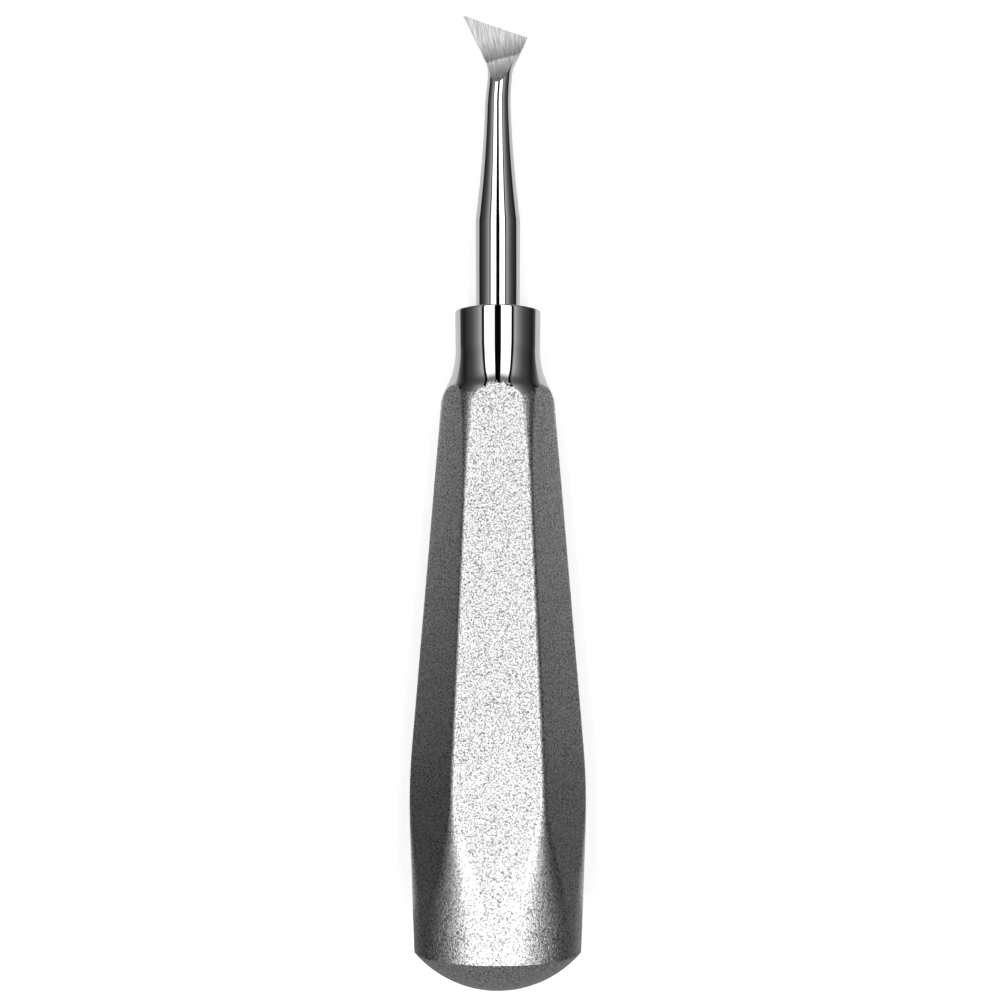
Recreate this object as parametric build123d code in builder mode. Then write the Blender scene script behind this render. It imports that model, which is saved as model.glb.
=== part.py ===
from build123d import *
from math import atan, cos, pi, radians, sin, sqrt, tan
import os

# A dental elevator with a triangular flag blade, lying on one flat facet of its six-sided handle.
# It is three pieces: a blade ground on the end of a round shank, a hollow handle and a domed end cap.
# All sizes are in millimetres. Positions are measured along the tool's axis from the end of the dome.

# The handle: six flat facets that fade into a round butt, and a turned neck
wall = 1.5
dome_height = 5.3
rim_radius = 11.74
butt_length = 22.75             # from the rim to the belly, where the two tapers would cross
belly_reach = 12.66             # from the axis to an edge of the hexagon, at that crossing
belly_blend = 12.0              # the length over which one taper rounds into the other
body_length = 55.5              # from the belly to the shoulder
shoulder_reach = 8.11
belly_edge_round = 1.2
shoulder_edge_round = 0.9
facet_fade = 20.3               # the length from the belly over which the facets fade out
rim_flatness = 0.03             # the share of a facet that is left at the rim
shoulder_lead_length = 4.8      # the turned shoulder starts this much before the flare
shoulder_lead_share = 0.252     # its slope there, for one of the flare
shoulder_round_share = 0.284    # the share of the flare that its rounding at the shoulder takes
flare_length = 4.36
flare_round_share = 0.579       # the share of the flare that its rounding at the foot takes
neck_radius = 6.05
neck_swell = 0.14               # the neck is this much larger in radius at its front
neck_length = 8.19
neck_front_round = 0.25
braze_clearance = 0.02          # between the tang and its bore

# The end cap
spigot_length = 4.0
spigot_clearance = 0.05

# The shank and its tang
shank_radius = 3.175
tang_length = 20.0              # the stretch of the shank that is held in the neck of the handle
tang_chamfer = 0.6
shank_length = 13.25            # from the front of the neck to the start of the long taper
shank_swell = 0.07              # the shank is this much larger in radius there
shank_swell_round = 9.0
taper_length = 9.7
waist_radius = 2.14             # where the two tapers of the shank would cross
waist_length = 10.3             # from there to the straight neck of the blade
waist_round_share = 0.98        # the share of the front taper that the rounding of the waist takes

# The flag blade
blade_neck_radius = 1.77
blade_neck_length = 2.5         # up to where the sides of the blade would cross those of its neck
blade_root_bend = 0.9           # the neck starts to spread this much before that crossing
blade_spread = 24.9             # lean of each side of the blade from the axis
blade_offset = 0.52             # the middle of the blade stands this far to the right of the axis
blade_offset_lead = 3.5         # it starts to lean over this much before the straight neck
blade_offset_length = 9.0
toe_left = 5.08
toe_length = 8.615              # from the same crossing to the toe
toe_thickness = 0.51
heel_right = 4.62
heel_length = 4.56

# The ground face of the blade, cut by a wheel in two passes that meet at a low ridge
wheel_radius = 26.0
wheel_width = 24.0
ridge_length = 1.2              # from the same crossing to the ridge
ridge_height = 0.5              # in front of the axis
blade_pass_roll = 9.6           # how far the face leans to the left
root_pass_roll = 8.0
root_pass_fall = 15.1           # how steeply the root of the face comes down to the ridge
grinding_lean = 8.0             # the lean of the grinding lines from the axis

os.makedirs("parts", exist_ok=True)

# Positions along the axis
rim_position = dome_height
belly_position = rim_position + butt_length
shoulder_position = belly_position + body_length
web_position = shoulder_position - shoulder_lead_length
flare_foot_position = shoulder_position + flare_length
neck_front_position = flare_foot_position + neck_length
tang_end = neck_front_position - tang_length
swell_position = neck_front_position + shank_length
waist_position = swell_position + taper_length
blade_neck_position = waist_position + waist_length
blade_start = blade_neck_position - blade_offset_lead
blade_root_position = blade_neck_position + blade_neck_length
ridge_position = blade_root_position + ridge_length
heel_position = blade_root_position + heel_length
toe_position = blade_root_position + toe_length
blade_end = toe_position + blade_root_bend

corner_ratio = 1 / cos(pi / 6)  # across the corners of a hexagon, for one across its flats
belly_start = belly_position - belly_blend / 2
belly_end = belly_position + belly_blend / 2
butt_slope = (belly_reach - rim_radius) / butt_length
front_slope = (shoulder_reach - belly_reach) / body_length


def corner_reach(position):
    """From the axis to an edge of the hexagon: two tapers with a rounded belly between them."""
    if position <= belly_start:
        return belly_reach + butt_slope * (position - belly_position)
    if position >= belly_end:
        return belly_reach + front_slope * (position - belly_position)
    rounding = (front_slope - butt_slope) * (position - belly_start) ** 2 / (2 * belly_blend)
    return belly_reach + butt_slope * (position - belly_position) + rounding


def edge_round(position):
    """Radius on the edges of the hexagon, which grows to a full circle at the rim."""
    if position >= belly_position:
        share = (position - belly_position) / body_length
        return belly_edge_round + share * (shoulder_edge_round - belly_edge_round)
    fade = min(1, (belly_position - position) / facet_fade)
    smooth_fade = fade**2 * (3 - 2 * fade)
    full_round = corner_reach(position) * (1 - rim_flatness)
    return belly_edge_round + smooth_fade * (full_round - belly_edge_round)


def flat_distance(position):
    """From the axis to the flat facets."""
    return (corner_reach(position) + edge_round(position) * (corner_ratio - 1)) / corner_ratio


# The tool lies on its back facet, so its axis falls towards the blade by the taper of the facets
flat_fall = flat_distance(belly_end) - flat_distance(shoulder_position)
taper = atan(flat_fall / (shoulder_position - belly_end))
rest_position = (belly_end + shoulder_position) / 2
rest_distance = flat_distance(rest_position)
dome_end = Vector(
    0,
    rest_distance * sin(taper) - rest_position * cos(taper),
    rest_distance * cos(taper) + rest_position * sin(taper),
)
tool_axis = Axis(dome_end, (0, cos(taper), -sin(taper)))

# Seen from the front, x is to the right and y is the position along the axis
front_view = Plane(dome_end, x_dir=(1, 0, 0), z_dir=(0, sin(taper), cos(taper)))


def tool_point(right, position, height):
    return front_view.from_local_coords(Vector(right, position, height))


def tool_direction(right, along, height):
    return (tool_point(right, along, height) - dome_end).normalized()


def section_at(position):
    """A cross section seen from the butt, with x to the right and y towards the front."""
    return Plane(tool_point(0, position, 0), x_dir=(1, 0, 0), z_dir=-tool_axis.direction)


# The handle: ruled flat facets along the straight taper, then a smooth belly that fades to the round rim
butt_stations = 6
butt_step = (belly_end - rim_position) / (butt_stations - 1)
butt_positions = [rim_position + butt_step * step for step in range(butt_stations)]

# The turned shoulder leaves the edges of the hexagon, rounds into the flare and that into the neck
flare_slope = (shoulder_reach - neck_radius) / flare_length
lead_slope = shoulder_lead_share * flare_slope
flare_side = sqrt(flare_length**2 + (shoulder_reach - neck_radius) ** 2)
shoulder_turn = atan(flare_slope) - atan(lead_slope)
flare_foot_turn = atan(flare_slope) + atan(neck_swell / neck_length)
shoulder_round = shoulder_round_share * flare_side / tan(shoulder_turn / 2)
flare_foot_round = flare_round_share * flare_side / tan(flare_foot_turn / 2)
clear_radius = max(belly_reach, rim_radius) + wall

with BuildPart() as hollow:
    for positions, is_straight in (((belly_end, web_position), True), (butt_positions, False)):
        for position in positions:
            hollow_distance = flat_distance(position) - wall
            hollow_share = hollow_distance / flat_distance(position)
            with BuildSketch(section_at(position)) as hollow_section:
                RegularPolygon(hollow_distance, 6, major_radius=False)
                fillet(hollow_section.vertices(), edge_round(position) * hollow_share)
        loft(ruled=is_straight)

# The straight part is lofted by itself, then made again from its faces with the six flat ones as true planes
with BuildPart() as straight_body:
    for position in (belly_end, neck_front_position):
        with BuildSketch(section_at(position)) as body_section:
            RegularPolygon(flat_distance(position), 6, major_radius=False)
            fillet(body_section.vertices(), edge_round(position))
    loft(ruled=True)
body_faces = [Face(face.outer_wire()) if face.is_planar else face for face in straight_body.faces()]

with BuildPart() as handle_shell:
    add(Solid(Shell(body_faces)))
    for position in butt_positions:
        with BuildSketch(section_at(position)) as butt_section:
            RegularPolygon(flat_distance(position), 6, major_radius=False)
            fillet(butt_section.vertices(), edge_round(position))
    loft()
    # the turned shoulder, flare and neck
    with BuildSketch(front_view):
        with BuildLine():
            FilletPolyline(
                (shoulder_reach + lead_slope * shoulder_lead_length, web_position),
                (shoulder_reach, shoulder_position),
                (neck_radius, flare_foot_position),
                (neck_radius + neck_swell, neck_front_position),
                (0, neck_front_position),
                radius=(shoulder_round, flare_foot_round, neck_front_round),
            )
            Polyline(
                (0, neck_front_position),
                (0, rim_position),
                (clear_radius, rim_position),
                (clear_radius, web_position),
                (shoulder_reach + lead_slope * shoulder_lead_length, web_position),
            )
        make_face()
    revolve(axis=tool_axis, mode=Mode.INTERSECT)
    # the bore for the tang
    with BuildSketch(section_at(neck_front_position)):
        Circle(shank_radius + braze_clearance)
    extrude(amount=neck_front_position - web_position, mode=Mode.SUBTRACT)
    add(hollow.part, mode=Mode.SUBTRACT)
    # the register for the spigot of the end cap
    with BuildSketch(section_at(rim_position)):
        Circle(rim_radius - wall)
    extrude(amount=-spigot_length - spigot_clearance, mode=Mode.SUBTRACT)

# The end cap: a domed disc with a spigot that fits in the butt of the handle
spigot_radius = rim_radius - wall - spigot_clearance
dome_radius = (rim_radius**2 + rim_position**2) / (2 * rim_position)
inner_dome_radius = dome_radius - wall
spigot_bore = spigot_radius - wall
bore_foot = dome_radius - sqrt(inner_dome_radius**2 - spigot_bore**2)
with BuildPart() as end_cap:
    with BuildSketch(front_view):
        with BuildLine():
            RadiusArc((0, 0), (rim_radius, rim_position), -dome_radius)
            Polyline(
                (rim_radius, rim_position),
                (spigot_radius, rim_position),
                (spigot_radius, rim_position + spigot_length),
                (spigot_bore, rim_position + spigot_length),
                (spigot_bore, bore_foot),
            )
            RadiusArc((spigot_bore, bore_foot), (0, wall), inner_dome_radius)
            Line((0, wall), (0, 0))
        make_face()
    revolve(axis=tool_axis)

# The blade and shank
blade_stations = 12
blade_step = (blade_end - blade_start) / (blade_stations - 1)
waist_slope = (waist_radius - blade_neck_radius) / waist_length
spread_slope = tan(radians(blade_spread))
shank_end_radius = blade_neck_radius + waist_slope * blade_offset_lead
waist_side = waist_length - blade_offset_lead
waist_turn = atan((shank_radius + shank_swell - waist_radius) / taper_length) - atan(waist_slope)
waist_round = waist_round_share * waist_side / tan(waist_turn / 2)

# The face falls evenly enough from the ridge to leave the blade its thickness at the toe
face_length = toe_position - ridge_position
wheel_rise = face_length**2 / (2 * wheel_radius)
face_slope = (ridge_height + blade_neck_radius - toe_thickness + wheel_rise) / face_length


def neck_half_width(position):
    """The last of the shank's taper, and then the straight neck of the blade."""
    return blade_neck_radius + waist_slope * max(0, blade_neck_position - position)


def blade_half_width(position):
    """The sides of the neck run on, bend outwards and then spread at an even angle."""
    beyond = position - blade_root_position
    if beyond <= -blade_root_bend:
        spread = 0
    elif beyond < blade_root_bend:
        spread = (beyond + blade_root_bend) ** 2 / (4 * blade_root_bend)
    else:
        spread = beyond
    return neck_half_width(position) + spread_slope * spread


def face_height(position):
    """The middle of the ground face, in front of the axis."""
    beyond = position - ridge_position
    return ridge_height - face_slope * beyond + beyond**2 / (2 * wheel_radius)


def eased(share):
    share = min(1, max(0, share))
    return share**2 * (3 - 2 * share)


with BuildPart() as blade_and_shank:
    with BuildSketch(front_view):
        with BuildLine():
            FilletPolyline(
                (shank_radius - tang_chamfer, tang_end),
                (shank_radius, tang_end + tang_chamfer),
                (shank_radius, neck_front_position),
                (shank_radius + shank_swell, swell_position),
                (waist_radius, waist_position),
                (shank_end_radius, blade_start),
                radius=(0, 0, shank_swell_round, waist_round),
            )
            Polyline(
                (shank_end_radius, blade_start),
                (0, blade_start),
                (0, tang_end),
                (shank_radius - tang_chamfer, tang_end),
            )
        make_face()
    revolve(axis=tool_axis)
    # the flag: its back runs straight on from the shank while its widest line follows the ground face
    for step in range(blade_stations):
        position = blade_start + step * blade_step
        sideways = blade_offset * eased((position - blade_start) / blade_offset_length)
        roll = blade_pass_roll * eased((position - blade_root_position) / heel_length)
        middle_height = min(0, face_height(position))
        with BuildSketch(section_at(position)):
            with Locations((sideways, middle_height)):
                Ellipse(
                    blade_half_width(position),
                    neck_half_width(position) + middle_height,
                    rotation=roll,
                )
    loft()
    # the top edge, cut straight from the toe to the heel
    toe = tool_point(-toe_left, toe_position, 0)
    heel = tool_point(heel_right, heel_position, 0)
    with BuildSketch(Plane(toe, x_dir=heel - toe, z_dir=front_view.z_dir)):
        Rectangle(wheel_radius * 2, wheel_radius, align=(Align.CENTER, Align.MIN))
    extrude(amount=wheel_radius, both=True, mode=Mode.SUBTRACT)
    # the ground face, as two passes of one wheel that both touch the ridge
    lean_slope = tan(radians(grinding_lean))
    root_slope = tan(radians(root_pass_fall))
    for along_slope, roll in ((face_slope, blade_pass_roll), (root_slope, root_pass_roll)):
        across_slope = tan(radians(roll))
        normal = tool_direction(-across_slope, along_slope, 1)
        grinding_line = tool_direction(-lean_slope, 1, -along_slope - across_slope * lean_slope)
        wheel_centre = tool_point(0, ridge_position, ridge_height) + normal * wheel_radius
        with BuildSketch(Plane(wheel_centre, x_dir=grinding_line, z_dir=normal.cross(grinding_line))):
            Circle(wheel_radius)
        extrude(amount=wheel_width / 2, both=True, mode=Mode.SUBTRACT)

handle_shell.part.label = "handle_shell"
export_step(handle_shell.part, "parts/handle_shell.step")
end_cap.part.label = "end_cap"
export_step(end_cap.part, "parts/end_cap.step")
blade_and_shank.part.label = "blade_and_shank"
export_step(blade_and_shank.part, "parts/blade_and_shank.step")
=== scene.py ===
import math

import bmesh
import bpy
from mathutils import Matrix, Vector


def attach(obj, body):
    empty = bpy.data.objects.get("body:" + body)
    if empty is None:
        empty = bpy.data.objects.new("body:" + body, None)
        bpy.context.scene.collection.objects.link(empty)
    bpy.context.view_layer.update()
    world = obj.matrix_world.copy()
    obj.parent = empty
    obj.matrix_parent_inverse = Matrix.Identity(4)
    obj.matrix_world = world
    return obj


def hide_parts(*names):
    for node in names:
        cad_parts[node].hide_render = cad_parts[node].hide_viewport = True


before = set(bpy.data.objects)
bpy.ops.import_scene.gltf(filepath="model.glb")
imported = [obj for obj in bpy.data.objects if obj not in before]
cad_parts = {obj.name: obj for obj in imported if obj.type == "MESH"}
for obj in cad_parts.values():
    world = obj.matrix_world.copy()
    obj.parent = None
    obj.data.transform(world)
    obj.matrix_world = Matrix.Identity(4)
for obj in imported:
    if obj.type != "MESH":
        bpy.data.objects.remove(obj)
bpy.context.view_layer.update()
print("frame loaded:", ", ".join(sorted(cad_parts)))

mm = 0.001  # sizes on the tool are in millimetres, and places along it count from the end of the dome

# The handle: six flat facets that die out in a round butt, and a turned neck
handle = {
    "domeHeight": 5.3, "rimRadius": 11.74,
    "buttLength": 22.75, "bellyReach": 12.66, "bellyBlend": 12.0,  # a reach is from the axis to a corner
    "bodyLength": 55.5, "shoulderReach": 8.11,
    "bellyEdge": 1.2, "shoulderEdge": 0.9,  # rounding of the six edges
    "facetFade": 20.3, "rimFlatness": 0.03,  # the facets die out towards the rim
    "softLength": 15.0, "softening": 0.0125,  # polishing rounds the section off before the shoulder
    "leadLength": 4.8, "leadShare": 0.252,  # the turned shoulder
    "flareLength": 4.36, "shoulderRound": 8.4, "flareRound": 12.0,
    "neckRadius": 6.05, "neckSwell": 0.14, "neckLength": 8.19, "frontEdge": 0.25,
    "boreRadius": 3.195, "boreShown": 1.0,
    "grainGap": 0.1,  # from the end of the grain to the shoulder
    # columns and rows of the mesh
    "facetSteps": 14, "edgeSteps": 18, "rimInsets": (5, 0.05, 0),
    "buttRows": 64, "bodyRows": 50, "shoulderRows": 26, "neckRows": 90, "neckCrowding": 1.2, "rowGap": 0.01,
    "sharpFrom": 20,  # degrees between faces
}

# Places along the axis
rimAt = handle["domeHeight"]
bellyAt = rimAt + handle["buttLength"]
shoulderAt = bellyAt + handle["bodyLength"]
leadAt = shoulderAt - handle["leadLength"]
flareFootAt = shoulderAt + handle["flareLength"]
neckFrontAt = flareFootAt + handle["neckLength"]
straightFrom = bellyAt + handle["bellyBlend"] / 2

# A hexagon's turn from facet to facet, and its corner to its flat
facetTurn = math.pi / 3
cornerRatio = 1 / math.cos(facetTurn / 2)


def eased(share):
    share = min(1, max(0, share))
    return share**2 * (3 - 2 * share)


def cornerReach(along):
    # two tapers with a rounded belly between them
    h = handle
    buttSlope = (h["bellyReach"] - h["rimRadius"]) / h["buttLength"]
    bodySlope = (h["shoulderReach"] - h["bellyReach"]) / h["bodyLength"]
    if along >= straightFrom:
        return h["bellyReach"] + bodySlope * (along - bellyAt)
    intoBelly = max(0, along - (straightFrom - h["bellyBlend"]))
    blend = (bodySlope - buttSlope) * intoBelly**2 / (2 * h["bellyBlend"])
    return h["bellyReach"] + buttSlope * (along - bellyAt) + blend


def edgeRound(along):
    # small on the body, and larger over the butt until it is nearly round
    h = handle
    if along >= bellyAt:
        return h["bellyEdge"] + (along - bellyAt) / h["bodyLength"] * (h["shoulderEdge"] - h["bellyEdge"])
    full = cornerReach(along) * (1 - h["rimFlatness"])
    return h["bellyEdge"] + eased((bellyAt - along) / h["facetFade"]) * (full - h["bellyEdge"])


def flatDistance(along, edge):
    # from the axis to a facet, for this rounding of its edges
    return (cornerReach(along) + edge * (cornerRatio - 1)) / cornerRatio


def facetDistance(along):
    return flatDistance(along, edgeRound(along))


# The tool lies on its back facet, so its axis falls a little towards the blade
fall = math.atan((facetDistance(straightFrom) - facetDistance(shoulderAt)) / (shoulderAt - straightFrom))
restAt = (straightFrom + shoulderAt) / 2
alongWay = Vector((0, math.cos(fall), -math.sin(fall)))
frontWay = Vector((0, math.sin(fall), math.cos(fall)))
domeEnd = frontWay * facetDistance(restAt) - alongWay * restAt


def toolPoint(right, along, front):
    # from sizes on the tool to a place in the frame, in metres
    return (domeEnd + Vector((right, 0, 0)) + alongWay * along + frontWay * front) * mm


def spaced(start, end, count):
    # even steps from the start, which isn't one of them, to the end
    return [start + (end - start) * i / count for i in range(1, count + 1)]


def roundedLine(corners, rounds, step=0.1):
    # a line of (radius, along) corners, with a rounding on each inner one
    points = [Vector(corners[0])]
    for before, corner, after, size in zip(corners, corners[1:], corners[2:], rounds):
        corner = Vector(corner)
        back, ahead = (Vector(before) - corner).normalized(), (Vector(after) - corner).normalized()
        turn = math.pi - back.angle(ahead)
        centre = corner + (back + ahead).normalized() * (size / math.cos(turn / 2))
        first = corner + back * (size * math.tan(turn / 2)) - centre
        sweep = math.copysign(turn, back.cross(ahead))
        count = max(4, math.ceil(size * turn / step))
        points += [centre + Matrix.Rotation(-sweep * i / count, 2) @ first for i in range(count + 1)]
    return points + [Vector(corners[-1])]


def radiusOn(line, along):
    for a, b in zip(line, line[1:]):
        if a.y <= along <= b.y and b.y > a.y:
            return a.x + (b.x - a.x) * (along - a.y) / (b.y - a.y)
    return line[-1].x if along > line[-1].y else line[0].x


def skinRows(name, rows):
    # a closed skin over rows of points, each row one ring of the same count
    bm = bmesh.new()
    rings = [[bm.verts.new(point) for point in row] for row in rows]
    count = len(rings[0])
    for ring, following in zip(rings, rings[1:]):
        for i in range(count):
            j = (i + 1) % count
            bm.faces.new((ring[i], ring[j], following[j], following[i]))
    bm.faces.new(rings[0][::-1])
    bm.faces.new(rings[-1])
    bmesh.ops.recalc_face_normals(bm, faces=bm.faces)
    mesh = bpy.data.meshes.new(name)
    bm.to_mesh(mesh)
    bm.free()
    piece = bpy.data.objects.new(name, mesh)
    bpy.context.scene.collection.objects.link(piece)
    return piece


def shadeSmooth(piece, sharpFrom):
    piece.data.shade_smooth()
    piece.data.set_sharp_from_angle(angle=math.radians(sharpFrom))


def sectionPoint(along, facet, place):
    # a point of the six-sided section: place runs over a flat and then over the rounding beside it
    h = handle
    beyond = max(0, place - h["facetSteps"]) / h["edgeSteps"]
    # the softening goes round the back facet, which stays flat to lie on
    upper = eased(2 * math.cos(facetTurn * (facet + beyond)) + 1.5)
    intoSoft = max(0, along - shoulderAt + h["softLength"])
    edge = edgeRound(along) + upper * h["softening"] * intoSoft**2
    flat = flatDistance(along, edge)
    side = (flat - edge) * math.tan(facetTurn / 2)
    if beyond == 0:
        point = Vector((side * (2 * place / h["facetSteps"] - 1), flat))
    else:
        turn = facetTurn * beyond
        point = Vector((side + edge * math.sin(turn), flat - edge + edge * math.cos(turn)))
    return Matrix.Rotation(-facet * facetTurn, 2) @ point


def creaseAt(line, turnedLine):
    # where a line of the hexagon runs into the turned flare, by halving
    low, high = leadAt, flareFootAt
    for _ in range(30):
        middle = (low + high) / 2
        inside = sectionPoint(middle, *line).length < radiusOn(turnedLine, middle)
        low, high = (middle, high) if inside else (low, middle)
    return low


def makeHandle():
    h = handle
    flareSlope = (h["shoulderReach"] - h["neckRadius"]) / h["flareLength"]
    leadReach = h["shoulderReach"] + h["leadShare"] * flareSlope * h["leadLength"]
    frontRadius = h["neckRadius"] + h["neckSwell"]
    corners = [
        (leadReach, leadAt), (h["shoulderReach"], shoulderAt), (h["neckRadius"], flareFootAt),
        (frontRadius, neckFrontAt), (0, neckFrontAt),
    ]
    turnedLine = roundedLine(corners, [h["shoulderRound"], h["flareRound"], h["frontEdge"]])

    # lines run the length of the handle, each over the hexagon up to its crease and over the turned neck after it
    steps = range(1, h["facetSteps"] + h["edgeSteps"] + 1)
    lines = [(facet, place) for facet in range(6) for place in steps]
    creases = [creaseAt(line, turnedLine) for line in lines]
    ways = [sectionPoint(crease, *line).normalized() for line, crease in zip(lines, creases)]
    grainEnds = [max(crease, shoulderAt - h["grainGap"]) for crease in creases]
    rows, buffed = [], []

    def addRow(places):
        # places: one (x, along, z) for each line
        rows.append([toolPoint(*place) for place in places])
        buffed.extend(place[1] - grainEnd for place, grainEnd in zip(places, grainEnds))

    def addSection(alongs, inset=0):
        points = [sectionPoint(along, *line) for along, line in zip(alongs, lines)]
        points = [point * (1 - inset / point.length) for point in points]
        addRow([(point.x, along, point.y) for point, along in zip(points, alongs)])

    def addTurned(radii, alongs):
        addRow([(way.x * radius, along, way.y * radius) for way, radius, along in zip(ways, radii, alongs)])

    count = len(lines)
    for inset in h["rimInsets"]:
        addSection([rimAt] * count, inset)
    for along in spaced(rimAt, straightFrom, h["buttRows"]) + spaced(straightFrom, leadAt, h["bodyRows"]):
        addSection([along] * count)
    # from here on each line has its own pace, so that one row lies on the crease
    for share in spaced(0, 1, h["shoulderRows"]):
        addSection([leadAt + (crease - leadAt) * share for crease in creases])
    neckEnd = neckFrontAt - h["frontEdge"] * 1.2
    for share in spaced(0, 1, h["neckRows"]):
        alongs = [crease + (neckEnd - crease) * share ** h["neckCrowding"] for crease in creases]
        addTurned([radiusOn(turnedLine, along) for along in alongs], alongs)
    # the rounded front edge, the flat front and the mouth of the bore
    for point in turnedLine:
        if point.y > neckEnd + h["rowGap"] and point.x > h["boreRadius"]:
            addTurned([point.x] * count, [point.y] * count)
    for depth in (0, h["boreShown"]):
        addTurned([h["boreRadius"]] * count, [neckFrontAt - depth] * count)

    piece = skinRows("handle", rows)
    shadeSmooth(piece, h["sharpFrom"])
    # how far each point is past the end of the grain, in millimetres
    piece.data.attributes.new("buffed", "FLOAT", "POINT").data.foreach_set("value", buffed)
    return piece


handlePiece = makeHandle()
print("handle made:", len(handlePiece.data.polygons), "faces")

# The end cap: a domed disc on the butt
endCap = {"rimInset": 0.03, "backWidth": 5.0, "rows": 70, "around": 192, "sharpFrom": 30}


def turnedRows(line, around):
    # a line of (radius, along) points turned about the axis of the tool
    turns = [(math.sin(turn), math.cos(turn)) for turn in spaced(0, 2 * math.pi, around)]
    return [[toolPoint(p.x * right, p.y, p.x * front) for right, front in turns] for p in line]


def makeEndCap():
    height, rim = handle["domeHeight"], handle["rimRadius"]
    radius = (rim**2 + height**2) / (2 * height)
    turns = spaced(0, math.asin(rim / radius), endCap["rows"])
    line = [Vector((radius * math.sin(turn), radius * (1 - math.cos(turn)))) for turn in turns]
    line += [Vector((rim - endCap["rimInset"], height)), Vector((rim - endCap["backWidth"], height))]
    piece = skinRows("endCap", turnedRows(line, endCap["around"]))
    shadeSmooth(piece, endCap["sharpFrom"])
    return piece


endCapPiece = makeEndCap()
print("end cap made:", len(endCapPiece.data.polygons), "faces")

# The shank and its flag blade, ground by a wheel in two passes
shank = {
    "hiddenLength": 6.0, "radius": 3.175, "length": 13.25, "mouthRound": 0.01,
    "swell": 0.07, "swellRound": 9.0,
    "taperLength": 9.7, "waistRadius": 2.14, "waistLength": 10.3, "waistRound": 171.8,
    "around": 192, "rowLength": 0.3, "sharpFrom": 20,
}
blade = {
    "neckRadius": 1.77, "neckLength": 2.5, "rootBend": 0.9, "spread": 24.9,
    "offset": 0.52, "offsetLead": 3.5, "offsetLength": 9.0,
    "toeLeft": 5.08, "toeLength": 8.615, "toeThickness": 0.51,
    "heelRight": 4.62, "heelLength": 4.56,
    "wheelRadius": 26.0, "wheelWidth": 24.0,
    "ridgeLength": 1.2, "ridgeHeight": 0.5, "edgeLift": 0.35,  # the lift takes the ground face to the edges
    "bladeRoll": 9.6, "rootRoll": 8.0, "rootFall": 15.1, "grindLean": 8.0,  # in degrees, as the spread is
    "rows": 110,
}

# Places along the axis, and slopes
swellAt = neckFrontAt + shank["length"]
waistAt = swellAt + shank["taperLength"]
bladeNeckAt = waistAt + shank["waistLength"]
bladeStart = bladeNeckAt - blade["offsetLead"]
rootAt = bladeNeckAt + blade["neckLength"]
ridgeAt = rootAt + blade["ridgeLength"]
toeAt = rootAt + blade["toeLength"]
waistSlope = (shank["waistRadius"] - blade["neckRadius"]) / shank["waistLength"]
faceLength = blade["toeLength"] - blade["ridgeLength"]
faceDrop = blade["ridgeHeight"] + blade["neckRadius"] - blade["toeThickness"]
faceSlope = (faceDrop + faceLength**2 / (2 * blade["wheelRadius"])) / faceLength
rootSlope = math.tan(math.radians(blade["rootFall"]))


def neckHalfWidth(along):
    return blade["neckRadius"] + waistSlope * max(0, bladeNeckAt - along)


def widened(beyond):
    # nothing on the neck and all of the length past the root, with a soft bend between them
    bend = blade["rootBend"]
    if abs(beyond) >= bend:
        return max(0, beyond)
    return (beyond + bend) ** 2 / (4 * bend)


def bladeRow(along, around):
    # one elliptical section of the flag, which widens, leans to the right and rolls to the left
    b = blade
    beyond, pastRidge = along - rootAt, along - ridgeAt
    halfWidth = neckHalfWidth(along) + math.tan(math.radians(b["spread"])) * widened(beyond)
    faceHeight = b["ridgeHeight"] - faceSlope * pastRidge + pastRidge**2 / (2 * b["wheelRadius"])
    middle = min(0, faceHeight + b["edgeLift"] * eased(beyond / b["toeLength"]))
    halfDepth = neckHalfWidth(along) + middle
    sideways = b["offset"] * eased((along - bladeStart) / b["offsetLength"])
    roll = Matrix.Rotation(math.radians(b["bladeRoll"]) * eased(beyond / b["heelLength"]), 2)
    row = []
    for turn in spaced(0, 2 * math.pi, around):
        point = roll @ Vector((halfWidth * math.sin(turn), halfDepth * math.cos(turn)))
        row.append(toolPoint(sideways + point.x, along, middle + point.y))
    return row


def grindingWheel(slope, roll):
    # its rim touches the ridge, and its axle lies across the grinding lines
    across, lean = math.tan(math.radians(roll)), math.tan(math.radians(blade["grindLean"]))
    radius = blade["wheelRadius"] * mm
    normal = (alongWay * slope - Vector((across, 0, 0)) + frontWay).normalized()
    line = (alongWay - Vector((lean, 0, 0)) + frontWay * (-slope - across * lean)).normalized()
    axle = normal.cross(line) * blade["wheelWidth"] / 2 * mm
    centre = toolPoint(0, ridgeAt, blade["ridgeHeight"]) + normal * radius
    # fine steps within 30 degrees of the cut, coarse ones elsewhere
    turns = spaced(-90, -30, 10) + spaced(-30, 30, 120) + spaced(30, 90, 10) + spaced(90, 270, 9)
    turns = [math.radians(turn) for turn in turns]
    rim = [(line * math.sin(turn) - normal * math.cos(turn)) * radius for turn in turns]
    sides = (-1, -0.5, 0, 0.5, 1)
    return skinRows("grindingWheel", [[centre + axle * side + point for point in rim] for side in sides])


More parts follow.
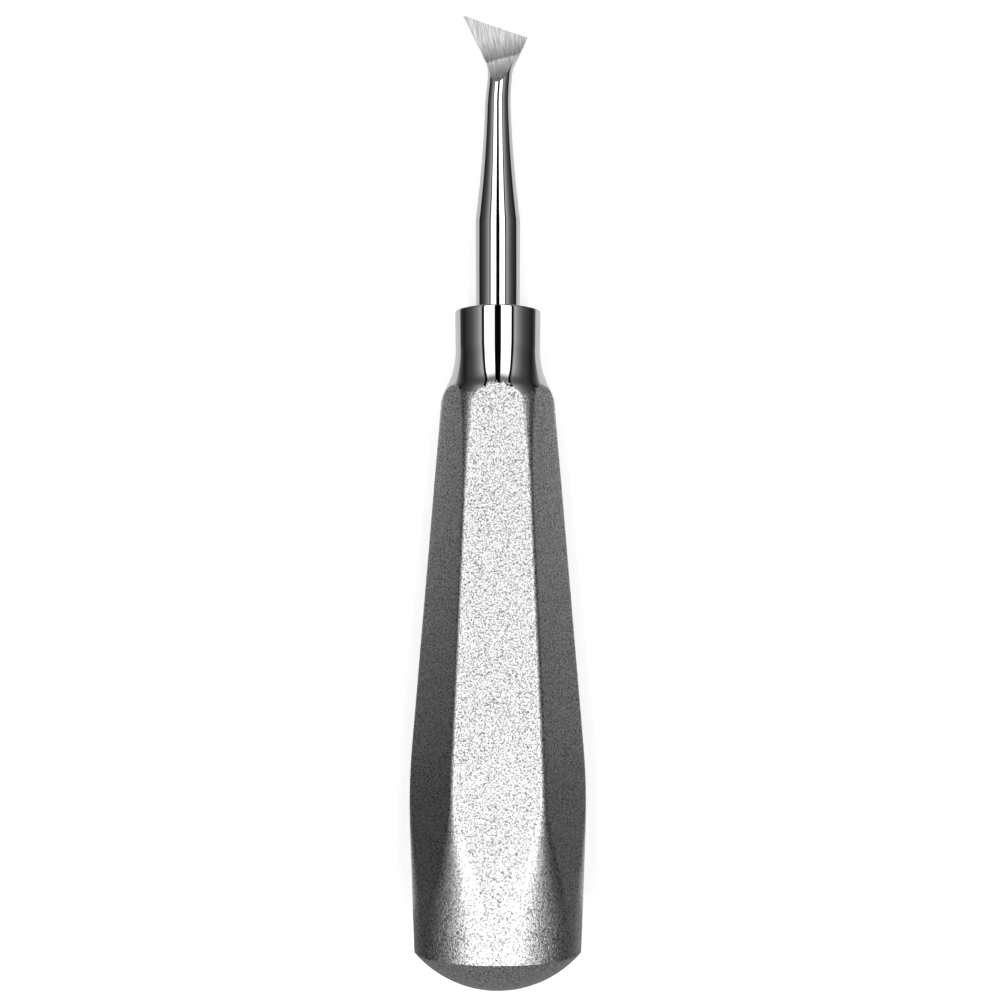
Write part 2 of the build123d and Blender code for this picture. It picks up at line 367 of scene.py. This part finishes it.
def makeShankAndBlade(polished, ground):
    corners = [
        (shank["radius"], neckFrontAt - shank["hiddenLength"]), (shank["radius"], neckFrontAt),
        (shank["radius"] + shank["swell"], swellAt), (shank["waistRadius"], waistAt),
        (neckHalfWidth(bladeStart), bladeStart),
    ]
    rounds = [shank["mouthRound"], shank["swellRound"], shank["waistRound"]]
    rows = turnedRows(roundedLine(corners, rounds, shank["rowLength"]), shank["around"])
    for along in spaced(bladeStart, toeAt + blade["rootBend"], blade["rows"]):
        rows.append(bladeRow(along, shank["around"]))
    piece = skinRows("shankAndBlade", rows)
    piece.data.materials.append(polished)
    # the top edge, cut straight from the toe to the heel
    toe = toolPoint(-blade["toeLeft"], toeAt, 0)
    heel = toolPoint(blade["heelRight"], rootAt + blade["heelLength"], 0)
    bm = bmesh.new()
    bm.from_mesh(piece.data)
    cut = bmesh.ops.bisect_plane(
        bm, geom=bm.verts[:] + bm.edges[:] + bm.faces[:], dist=1e-7,
        plane_co=toe, plane_no=frontWay.cross(heel - toe), clear_outer=True,
    )
    openEdges = [item for item in cut["geom_cut"] if isinstance(item, bmesh.types.BMEdge)]
    bmesh.ops.holes_fill(bm, edges=openEdges)
    bm.to_mesh(piece.data)
    bm.free()
    # the face first, and then the root below the ridge
    for slope, roll in ((faceSlope, blade["bladeRoll"]), (rootSlope, blade["rootRoll"])):
        wheel = grindingWheel(slope, roll)
        wheel.data.materials.append(ground)
        grind = piece.modifiers.new("grinding", "BOOLEAN")
        grind.operation, grind.object, grind.material_mode = "DIFFERENCE", wheel, "TRANSFER"
        evaluated = piece.evaluated_get(bpy.context.evaluated_depsgraph_get())
        groundMesh = bpy.data.meshes.new_from_object(evaluated)
        piece.modifiers.clear()
        piece.data = groundMesh
        bpy.data.objects.remove(wheel)
    shadeSmooth(piece, shank["sharpFrom"])
    return piece


# Finishes, all bare stainless steel. A tint is how much light the steel gives back.
polish = {
    "tint": 0.6, "roughness": 0.035,
    "haze": 0.03, "hazeSize": 2.5, "hazeSpan": (0.35, 0.7),
    "lineWidth": 0.05, "lineLength": 2.0, "lineDepth": 0.0006,
}
peening = {
    # the pit tints are painted shade: the steel's colour is darkened in the low pits of the grain
    "tint": 0.78, "paintedPitShade": 0.12, "paintedCoarsePitShade": 0.26, "pitSpan": (0.4, 0.56), "roughness": 0.29,
    "grainSize": 0.18, "grainDepth": 0.05, "grainTwist": 0.9,
    "coarseSize": 0.29, "coarseDepth": 0.075, "coarseTwist": 1.2,
    "coarseFrom": -31.0, "coarseTo": -46.0,  # along the frame's Y
    "fray": 0.35, "fraySize": 0.5, "endBlur": 0.12,  # of the line where the grain ends
}
capPeening = {
    # the pit tint is painted shade in the pits of the grain
    "tint": 0.62, "paintedPitShade": 0.14, "pitSpan": (0.4, 0.56), "roughness": 0.3,
    "grainSize": 0.19, "grainDepth": 0.04, "grainTwist": 0.6,
}
grinding = {
    "tint": 0.42, "dullTint": 0.22, "tintSpan": (0.35, 0.6),
    "roughness": 0.27, "smoother": 0.05, "rougher": 0.09,
    "lineWidth": 0.06, "lineLength": 2.6, "lineDepth": 0.004, "broadWidth": 0.24, "broadLength": 5.2,
}
coolness = 1.01  # how much bluer than grey all the steel is
fullSpan = (0.3, 0.7)  # nearly all of a noise lies in it, around its middle
noiseMiddle = 0.5


class Finish:
    # one steel material, with short ways to add and join its nodes

    def __init__(self, name, tint, roughness):
        self.material = bpy.data.materials.new(name)
        self.material.use_nodes = True
        self.tree = self.material.node_tree
        self.shader = self.tree.nodes["Principled BSDF"]
        colour = (tint, tint, tint * coolness, 1)
        self.set(self.shader, {"Metallic": 1.0, "Base Color": colour, "Roughness": roughness})
        self.place = self.add("ShaderNodeTexCoord", {}).outputs["Object"]

    def set(self, node, values):
        # a value is a socket to link, or what to fill in
        for name, value in values.items():
            if isinstance(value, bpy.types.NodeSocket):
                self.tree.links.new(value, node.inputs[name])
            else:
                node.inputs[name].default_value = value

    def add(self, kind, values, **settings):
        node = self.tree.nodes.new(kind)
        for name, value in settings.items():
            setattr(node, name, value)
        self.set(node, values)
        return node

    def noise(self, size, twist=0.0):
        values = {"Vector": self.place, "Scale": 1 / (size * mm), "Distortion": twist, "Detail": 2.0}
        return self.add("ShaderNodeTexNoise", values).outputs["Fac"]

    def lines(self, width, length, lean=0.0):
        # the place is divided by a line's width and length, so that the noise on it draws lines
        turn = (0, 0, math.radians(lean))
        scale = (1 / (width * mm), 1 / (length * mm), 1 / (length * mm))
        turned = self.add("ShaderNodeMapping", {"Vector": self.place, "Rotation": turn}).outputs[0]
        stretched = self.add("ShaderNodeMapping", {"Vector": turned, "Scale": scale}).outputs[0]
        values = {"Vector": stretched, "Scale": 1.0, "Detail": 3.0}
        return self.add("ShaderNodeTexNoise", values).outputs["Fac"]

    def between(self, value, span, toLow, toHigh):
        # from one value to another while the input goes through the span
        limits = {"Value": value, "From Min": span[0], "From Max": span[1], "To Min": toLow, "To Max": toHigh}
        return self.add("ShaderNodeMapRange", limits, interpolation_type="SMOOTHSTEP").outputs[0]

    def mix(self, share, first, second):
        return self.add("ShaderNodeMix", {"Factor": share, "A": first, "B": second}).outputs[0]

    def combined(self, operation, first, second):
        return self.add("ShaderNodeMath", {0: first, 1: second}, operation=operation).outputs[0]

    def grey(self, value):
        return self.add("ShaderNodeCombineColor", {"Red": value, "Green": value, "Blue": value}).outputs[0]

    def bump(self, height, depth):
        relief = self.add("ShaderNodeBump", {"Height": height, "Distance": depth * mm, "Strength": 1.0})
        self.set(self.shader, {"Normal": relief.outputs[0]})


def polishedSteel():
    p = polish
    finish = Finish("polishedSteel", p["tint"], p["roughness"])
    hazy = p["roughness"] + p["haze"]
    haze = finish.between(finish.noise(p["hazeSize"]), p["hazeSpan"], p["roughness"], hazy)
    finish.set(finish.shader, {"Roughness": haze})
    finish.bump(finish.lines(p["lineWidth"], p["lineLength"]), p["lineDepth"])
    return finish.material


def peenedCap():
    # a grain of small pits, with painted shade that makes each pit darker
    p = capPeening
    finish = Finish("peenedCap", p["tint"], p["roughness"])
    grain = finish.noise(p["grainSize"], p["grainTwist"])
    # painted shade: the colour falls to the pit tint where the grain is low
    tint = finish.between(grain, p["pitSpan"], p["paintedPitShade"], p["tint"])
    finish.set(finish.shader, {"Base Color": finish.grey(tint)})
    finish.bump(grain, p["grainDepth"])
    return finish.material


def peenedSteel():
    # the same grain with painted shade in its pits, coarser on the butt, which ends in a mirror polish at the
    # neck
    p = peening
    finish = Finish("peenedSteel", p["tint"], p["roughness"])
    along = finish.add("ShaderNodeSeparateXYZ", {"Vector": finish.place}).outputs["Y"]
    coarseShare = finish.between(along, (p["coarseTo"] * mm, p["coarseFrom"] * mm), 1, 0)
    fine = finish.noise(p["grainSize"], p["grainTwist"])
    coarse = finish.noise(p["coarseSize"], p["coarseTwist"])
    grain = finish.mix(coarseShare, fine, coarse)
    depth = finish.mix(coarseShare, p["grainDepth"], p["coarseDepth"])
    # painted shade: where the grain is low, in its pits, the colour falls to the pit tint
    paintedPitShade = finish.mix(coarseShare, p["paintedPitShade"], p["paintedCoarsePitShade"])
    tint = finish.between(grain, p["pitSpan"], paintedPitShade, p["tint"])
    # the line where the grain ends is frayed
    distance = finish.add("ShaderNodeAttribute", {}, attribute_name="buffed").outputs["Fac"]
    fray = finish.between(finish.noise(p["fraySize"]), fullSpan, -p["fray"], p["fray"])
    shine = finish.between(finish.combined("ADD", distance, fray), (-p["endBlur"], p["endBlur"]), 0, 1)
    finish.set(finish.shader, {
        "Base Color": finish.grey(finish.mix(shine, tint, polish["tint"])),
        "Roughness": finish.mix(shine, p["roughness"], polish["roughness"]),
    })
    relief = finish.combined("MULTIPLY", grain, depth)
    finish.bump(finish.mix(shine, relief, noiseMiddle * p["grainDepth"]), 1)
    return finish.material


def groundSteel():
    # fine lines of the grinding wheel, which lean to the left
    g = grinding
    finish = Finish("groundSteel", g["tint"], g["roughness"])
    lines = finish.lines(g["lineWidth"], g["lineLength"], -blade["grindLean"])
    broad = finish.lines(g["broadWidth"], g["broadLength"], -blade["grindLean"])
    smooth, rough = g["roughness"] - g["smoother"], g["roughness"] + g["rougher"]
    finish.set(finish.shader, {
        "Base Color": finish.grey(finish.between(lines, g["tintSpan"], g["dullTint"], g["tint"])),
        "Roughness": finish.between(broad, fullSpan, smooth, rough),
    })
    finish.bump(lines, g["lineDepth"])
    return finish.material


shankPiece = makeShankAndBlade(polishedSteel(), groundSteel())
handlePiece.data.materials.append(peenedSteel())
endCapPiece.data.materials.append(peenedCap())
print("shank and blade made:", len(shankPiece.data.polygons), "faces")

# What each piece rides on and stands for
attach(handlePiece, "root")
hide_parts("handle_shell")
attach(endCapPiece, "root")
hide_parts("end_cap")
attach(shankPiece, "root")
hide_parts("blade_and_shank")
print("pieces placed")

# The studio: a pale floor, and soft light that polished steel mirrors as long bands
studio = {
    # how bright the light is, by degrees from straight up towards either side
    "bands": [(0, 0.005), (8.4, 0.005), (9.6, 4.2), (36, 4.2), (37.5, 0.01), (43, 0.01), (45.5, 1.0), (50, 0.95),
              (53, 0.72), (62, 0.43), (72, 0.22), (80, 0.145), (100, 0.05), (108, 0.02), (115, 0.0)],
    # how much of it is left by the Y of the direction, from -1 behind the butt to 1 beyond the blade
    "lengthways": [(-1, 0.5), (-0.6, 1.0), (-0.2, 1.0), (0, 0.72), (0.3, 0.54), (0.5, 0.6), (0.67, 0.66),
                   (0.76, 0.6), (0.87, 0.07), (0.97, 0.05), (1, 0.04)],
    # the same two for the light from below
    "below": [(104, 0), (110, 0.03), (118, 0.11), (128, 0.36), (142, 1.2), (180, 1.5)],
    "belowLengthways": [(-1, 0.2), (-0.3, 0.2), (-0.05, 0.26), (0.05, 0.58), (0.15, 1.0), (0.4, 1.1), (1, 1.1)],
    # towards the butt that light is stronger on the right and weaker on the left; both places are a Y, as above
    "slant": 0.5, "slantFrom": 0.2, "slantTo": -0.05,
    "behind": 0.3, "behindFrom": -0.35, "behindTo": -0.75,  # an even grey behind the butt
    "background": 1.0,
    # in metres; the bounce card's width, and where it starts and ends along Y
    "floorTint": 0.9, "floorGlow": 0.3, "floorSize": 3.0, "floorDrop": 0.0001,
    "bounceGlow": 0.8, "bounceSize": (0.040, -0.050, 0.110),
}


def ramp(tree, value, stops):
    node = tree.nodes.new("ShaderNodeValToRGB")
    tree.links.new(value, node.inputs[0])
    elements = node.color_ramp.elements
    (firstPlace, first), *inner, (lastPlace, last) = stops
    elements[0].position, elements[0].color = firstPlace, (first, first, first, 1)
    elements[1].position, elements[1].color = lastPlace, (last, last, last, 1)
    for place, bright in inner:
        elements.new(place).color = (bright, bright, bright, 1)
    return node.outputs[0]


def calculated(tree, kind, inputs, **settings):
    # a node of the world's tree with numbers or sockets on its inputs, in their order
    node = tree.nodes.new(kind)
    for name, value in settings.items():
        setattr(node, name, value)
    for i, value in enumerate(inputs):
        if isinstance(value, bpy.types.NodeSocket):
            tree.links.new(value, node.inputs[i])
        else:
            node.inputs[i].default_value = value
    return node.outputs[0]


def lightStudio():
    world = bpy.data.worlds.new("studio")
    bpy.context.scene.world = world
    world.use_nodes = True
    tree = world.node_tree
    tree.nodes.clear()

    def worked(operation, *values):
        return calculated(tree, "ShaderNodeMath", values, operation=operation)

    def share(value, start, end, **settings):
        # 0 up to the start and 1 from the end on
        return calculated(tree, "ShaderNodeMapRange", (value, start, end), **settings)

    # the direction that light comes from, as a turn from straight up, 1 for straight down, and a place lengthways
    split = tree.nodes.new("ShaderNodeSeparateXYZ")
    tree.links.new(tree.nodes.new("ShaderNodeTexCoord").outputs["Generated"], split.inputs[0])
    x, y, z = split.outputs
    turn = worked("DIVIDE", worked("ARCTAN2", worked("ABSOLUTE", x), z), math.pi)
    lengthways = worked("MULTIPLY_ADD", y, 0.5, 0.5)

    def lit(bands, along):
        # two ramps in one: round the tool and along it, where a ramp's half stands for 1
        around = ramp(tree, turn, [(angle / 180, light) for angle, light in studio[bands]])
        left = ramp(tree, lengthways, [((place + 1) / 2, part / 2) for place, part in studio[along]])
        return worked("MULTIPLY", around, worked("MULTIPLY", left, 2.0))

    leaning = worked("MULTIPLY", x, share(y, studio["slantFrom"], studio["slantTo"]))
    slanted = worked("MULTIPLY_ADD", leaning, studio["slant"], 1.0)
    fromBelow = worked("MULTIPLY", lit("below", "belowLengthways"), slanted)
    allRound = worked("ADD", lit("bands", "lengthways"), fromBelow)
    behind = share(y, studio["behindFrom"], studio["behindTo"], interpolation_type="SMOOTHSTEP")
    mixed = tree.nodes.new("ShaderNodeMix")
    tree.links.new(behind, mixed.inputs["Factor"])
    tree.links.new(allRound, mixed.inputs["A"])
    mixed.inputs["B"].default_value = studio["behind"]

    # what lies beyond the floor is plain white to look at, and doesn't show the bands
    light, backdrop = tree.nodes.new("ShaderNodeBackground"), tree.nodes.new("ShaderNodeBackground")
    tree.links.new(mixed.outputs[0], light.inputs["Color"])
    backdrop.inputs["Strength"].default_value = studio["background"]
    backdrop.inputs["Color"].default_value = (1, 1, 1, 1)
    seen = tree.nodes.new("ShaderNodeMixShader")
    tree.links.new(tree.nodes.new("ShaderNodeLightPath").outputs["Is Camera Ray"], seen.inputs[0])
    tree.links.new(light.outputs[0], seen.inputs[1])
    tree.links.new(backdrop.outputs[0], seen.inputs[2])
    tree.links.new(seen.outputs[0], tree.nodes.new("ShaderNodeOutputWorld").inputs[0])


def flatCard(name, size, z, material):
    width, start, end = size
    bm = bmesh.new()
    for side, y in ((-1, start), (1, start), (1, end), (-1, end)):
        bm.verts.new((side * width / 2, y, z))
    bm.faces.new(bm.verts[:])
    mesh = bpy.data.meshes.new(name)
    bm.to_mesh(mesh)
    bm.free()
    card = bpy.data.objects.new(name, mesh)
    card.data.materials.append(material)
    bpy.context.scene.collection.objects.link(card)
    return card


def paperMaterial(name, tint, glow):
    paper = bpy.data.materials.new(name)
    paper.use_nodes = True
    sockets = paper.node_tree.nodes["Principled BSDF"].inputs
    sockets["Base Color"].default_value = (tint, tint, tint, 1)
    sockets["Roughness"].default_value = 1
    sockets["Specular IOR Level"].default_value = 0
    sockets["Emission Color"].default_value = (1, 1, 1, 1)
    sockets["Emission Strength"].default_value = glow
    return paper


def layFloor():
    # the steel doesn't mirror the floor itself, but a narrow strip of it under the tool
    size = studio["floorSize"]
    paper = paperMaterial("paper", studio["floorTint"], studio["floorGlow"])
    floor = flatCard("floor", (size * 2, -size, size), -studio["floorDrop"], paper)
    floor.visible_glossy = False
    glowing = paperMaterial("bounce", 0, studio["bounceGlow"])
    bounce = flatCard("bounceCard", studio["bounceSize"], 0, glowing)
    bounce.visible_camera = bounce.visible_diffuse = bounce.visible_shadow = False


lightStudio()
layFloor()
print("studio lit")

# Straight above the tool, as in the photo; right, forward and height are in millimetres
view = {"lens": 64.26, "sensor": 36, "right": 0.31, "forward": 10.66, "height": 263.9, "clip": (0.01, 10)}
camera = bpy.data.cameras.new("camera")
camera.lens, camera.sensor_width = view["lens"], view["sensor"]
camera.clip_start, camera.clip_end = view["clip"]
cameraObject = bpy.data.objects.new("camera", camera)
cameraObject.location = Vector((view["right"], view["forward"], view["height"])) * mm
bpy.context.scene.collection.objects.link(cameraObject)
bpy.context.scene.camera = cameraObject
bpy.context.scene.view_settings.view_transform = "Standard"
print("camera placed")
